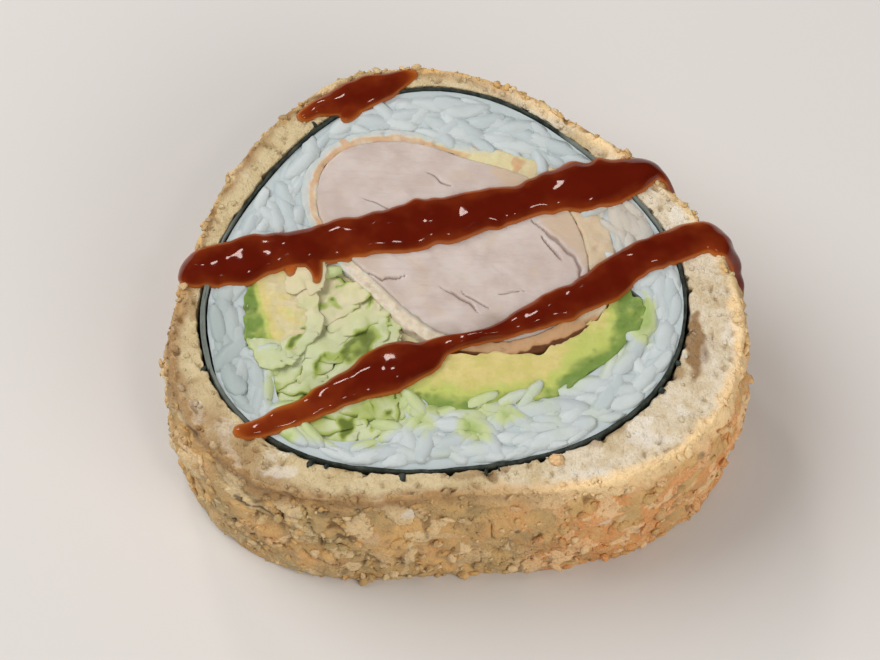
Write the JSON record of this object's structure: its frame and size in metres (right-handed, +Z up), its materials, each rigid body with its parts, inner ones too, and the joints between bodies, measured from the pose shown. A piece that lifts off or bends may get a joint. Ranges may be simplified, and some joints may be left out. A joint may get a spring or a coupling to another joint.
{
  "type": "fried sushi roll slice",
  "caption": "Slice of a breaded, fried sushi roll lying on its cut face: crumb crust and nori ring round rice, battered chicken, avocado and lettuce, with stripes of dark sauce.",
  "frame": {"origin": "centre of the slice's bounding box, on the lower cut face", "axes": "+Z up through the slice's thickness, out of the sauced cut face; +X along its widest direction, towards the thick side of the crust; +Y away from the flattest side"},
  "size_m": [0.0606, 0.0538, 0.0184],
  "materials": {
    "fried_crumbs": "golden tan fried breadcrumbs, rough and porous, cream where cut",
    "nori": "dark green-black seaweed sheet, faint sheen",
    "rice": "cooked short-grain rice, moist and slightly translucent",
    "chicken": "cooked white meat, fibrous, slightly moist",
    "batter": "thin cooked batter, creamy with a browned line",
    "avocado": "ripe avocado, yellow turning green at the skin side, moist",
    "lettuce": "pale folded lettuce with greener edges, moist",
    "sauce": "dark red-brown sweet soy glaze, wet gloss"
  },
  "bodies": {
    "root": {"crust": "fried_crumbs", "nori": "nori", "rice": "rice", "chicken": "chicken", "chicken_coating": "batter", "avocado_slice": "avocado", "avocado_chunk": "avocado", "lettuce": "lettuce"}
  },
  "joints": []
}
